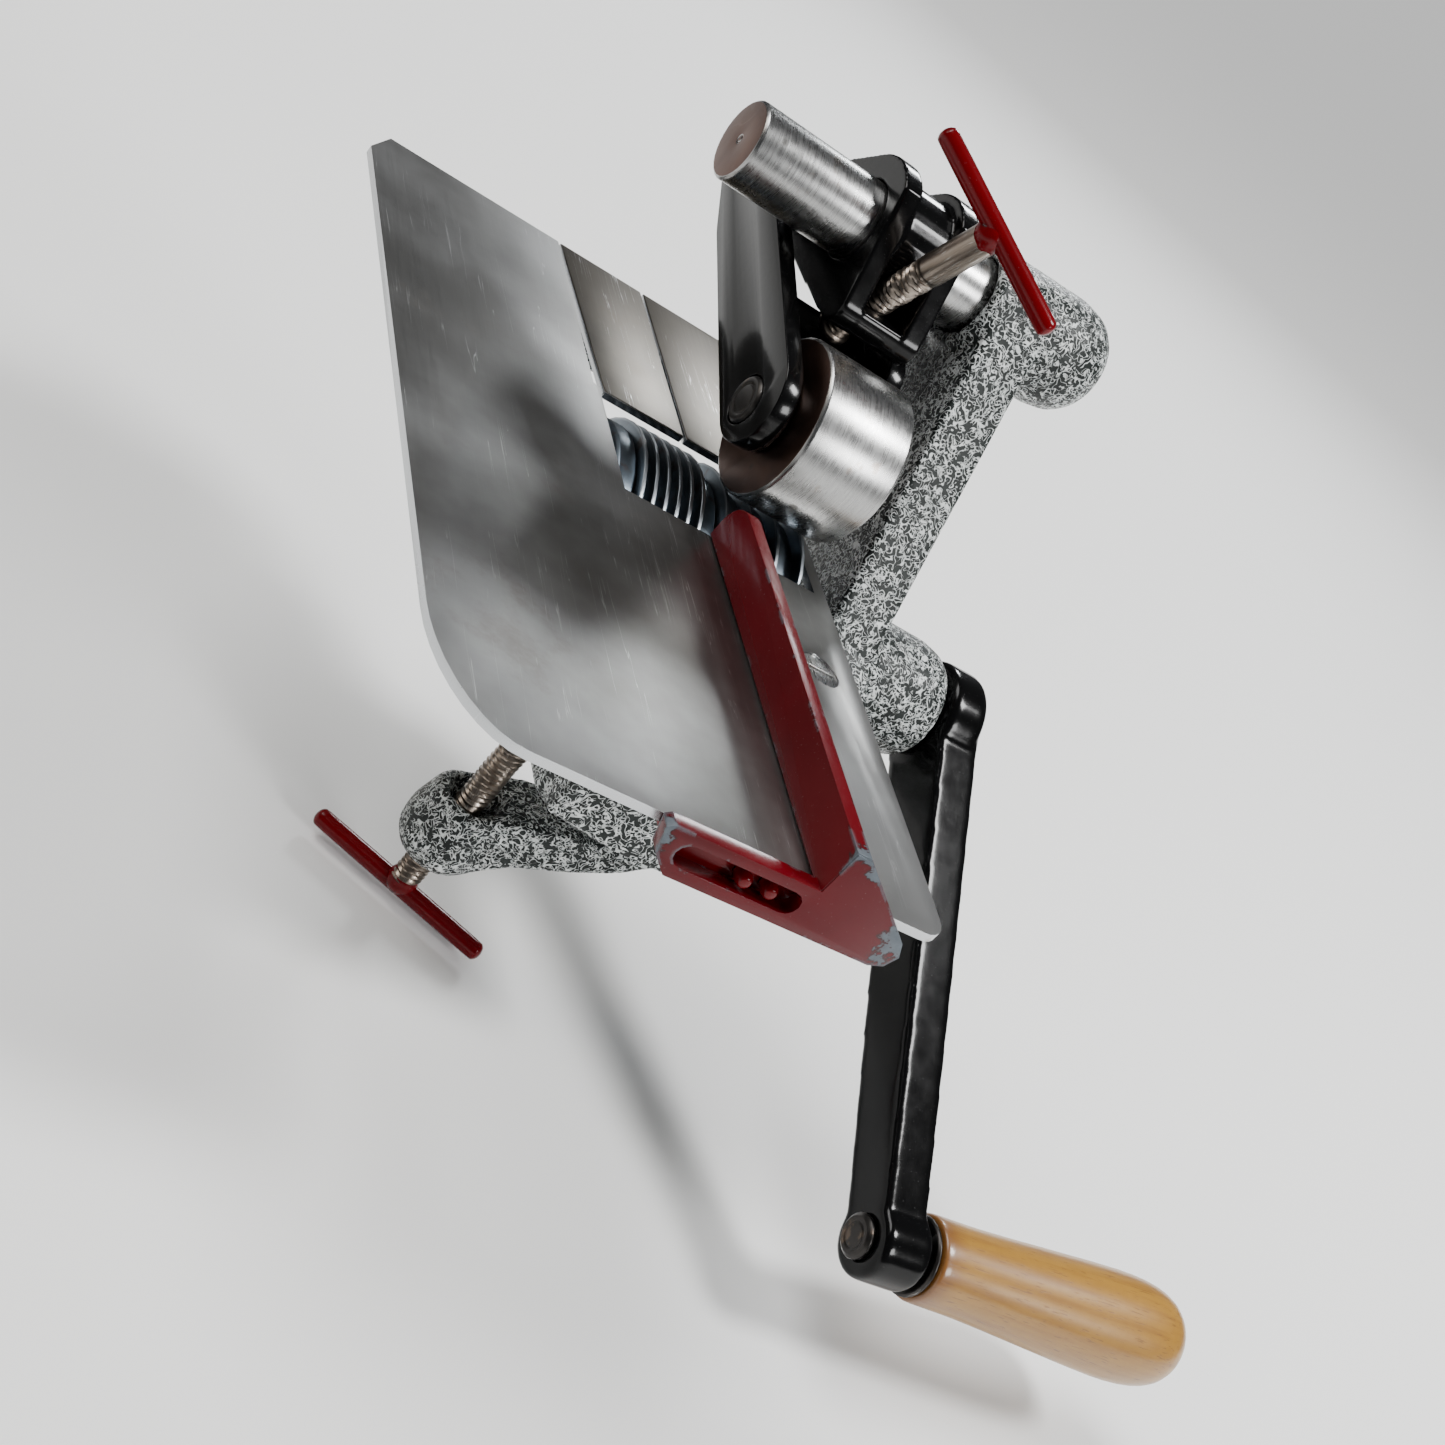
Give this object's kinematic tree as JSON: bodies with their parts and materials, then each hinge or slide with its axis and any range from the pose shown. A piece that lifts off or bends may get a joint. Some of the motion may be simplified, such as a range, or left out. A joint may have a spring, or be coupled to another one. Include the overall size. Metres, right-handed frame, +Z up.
{
  "type": "hand-cranked cloth strip cutter",
  "caption": "Table-clamped cloth strip cutter: crank-driven cutter discs, pressure roller on a swinging fork, feed tray and side guide.",
  "frame": {"origin": "middle of the clamp's upper jaw face, on the clamp screw's axis", "axes": "+X along the crankshaft towards the crank, +Y the way the cloth is fed, +Z up along the clamp screw"},
  "size_m": [0.2261, 0.1781, 0.1744],
  "materials": {
    "casting_enamel": "dark grey enamel with a dense pale wrinkle pattern",
    "black_enamel": "gloss black enamel",
    "red_enamel": "deep red enamel, chipped at the edges",
    "turned_steel": "bright turned steel with nicks",
    "dark_steel": "dark blued steel",
    "tray_sheet": "satin brushed sheet with fine scratches",
    "grip_wood": "varnished golden hardwood"
  },
  "bodies": {
    "base": {"body_casting": "casting_enamel", "roller_rod": "turned_steel", "tray": "tray_sheet", "rear_plate_left": "tray_sheet", "rear_plate_right": "tray_sheet", "tray_screw": "turned_steel", "rear_screw_left": "turned_steel", "rear_screw_right": "turned_steel", "guide_block": "red_enamel", "guide_screw_1": "red_enamel", "guide_screw_2": "red_enamel"},
    "carriage": {"carriage_yoke": "black_enamel", "pivot_pin": "black_enamel", "pivot_spacer": "black_enamel"},
    "fork": {"roller_frame": "black_enamel", "roller_axle": "dark_steel", "roller_washer": "turned_steel"},
    "roller": {"pressure_roller": "turned_steel"},
    "pressure_foot": {"pressure_foot": "turned_steel"},
    "pressure_screw": {"pressure_screw": "turned_steel", "pressure_tbar": "red_enamel"},
    "crank": {"crankshaft": "turned_steel", "cutter_collar": "dark_steel", "cutter_fine": "dark_steel", "cutter_ring": "dark_steel", "cutter_coarse": "dark_steel", "shaft_sleeve": "turned_steel", "crank_arm": "black_enamel", "handle_pin": "dark_steel", "grip_ferrule": "dark_steel"},
    "grip": {"wooden_grip": "grip_wood"},
    "guide": {"cloth_guide": "red_enamel"},
    "clamp_pad": {"clamp_pad": "turned_steel"},
    "clamp_screw": {"clamp_screw": "turned_steel", "clamp_tbar": "red_enamel"}
  },
  "joints": [
    {"name": "crank_spin", "type": "hinge", "parent": "base", "child": "crank", "pos_m": [0, 0.017, 0.028], "axis": [1, 0, 0], "continuous": true},
    {"name": "grip_spin", "type": "hinge", "parent": "crank", "child": "grip", "pos_m": [0.0933, -0.074, -0.02733], "axis": [1, 0, 0], "continuous": true},
    {"name": "carriage_slide", "type": "slide", "parent": "base", "child": "carriage", "axis": [1, 0, 0], "range_m": [-0.024, 0.006]},
    {"name": "fork_swing", "type": "hinge", "parent": "carriage", "child": "fork", "pos_m": [0, 0.0795, 0.08378], "axis": [-1, 0, 0], "range_deg": [0, 2.53]},
    {"name": "roller_spin", "type": "hinge", "parent": "fork", "child": "roller", "pos_m": [0, 0.017, 0.06578], "axis": [1, 0, 0], "continuous": true},
    {"name": "pressure_feed", "type": "slide", "parent": "carriage", "child": "pressure_foot", "axis": [0, -0.515, 0.8572], "range_m": [0, 0.00149]},
    {"name": "pressure_turn", "type": "hinge", "parent": "pressure_foot", "child": "pressure_screw", "pos_m": [0.0183, 0.03764, 0.08897], "axis": [0, -0.515, 0.8572], "range_deg": [0, 420]},
    {"name": "guide_slide", "type": "slide", "parent": "base", "child": "guide", "axis": [1, 0, 0], "range_m": [-0.0029, 0.011]},
    {"name": "clamp_feed", "type": "slide", "parent": "base", "child": "clamp_pad", "axis": [0, 0, 1], "range_m": [-0.0165, 0.002]},
    {"name": "clamp_turn", "type": "hinge", "parent": "clamp_pad", "child": "clamp_screw", "pos_m": [0, 0, -0.02], "axis": [0, 0, 1], "range_deg": [-4660, 565]}
  ],
  "couplings": [
    {"joint": "roller_spin", "follows": "crank_spin", "ratio": -1.3606},
    {"joint": "fork_swing", "follows": "pressure_turn", "ratio": 0.006},
    {"joint": "pressure_feed", "follows": "pressure_turn", "m_per_rad": 0.00020213},
    {"joint": "clamp_feed", "follows": "clamp_turn", "m_per_rad": 0.00020213}
  ]
}
